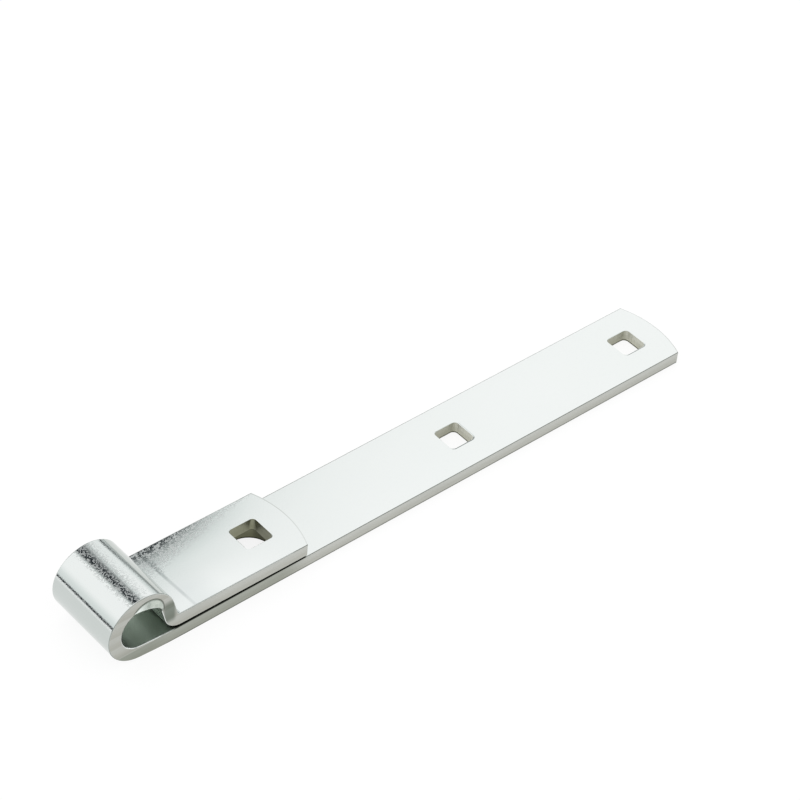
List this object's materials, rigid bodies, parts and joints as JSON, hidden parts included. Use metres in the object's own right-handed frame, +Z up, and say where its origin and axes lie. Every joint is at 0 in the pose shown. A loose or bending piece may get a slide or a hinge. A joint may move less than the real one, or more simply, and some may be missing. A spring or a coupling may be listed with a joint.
{
  "type": "gate hinge strap",
  "caption": "Flat steel gate hinge strap with a rolled pin eye, bar end doubled back over the strap, and square bolt holes along its length.",
  "frame": {"origin": "on the eye's axis, half way across the bar", "axes": "+X along the strap from the eye to the tail, +Y along the eye's axis, +Z up from the back face towards the flap"},
  "size_m": [0.2543, 0.0311, 0.0268],
  "materials": {
    "zinc_plated_steel": "bright zinc plating over flat bar"
  },
  "bodies": {
    "root": {"hinge_strap": "zinc_plated_steel"}
  },
  "joints": []
}
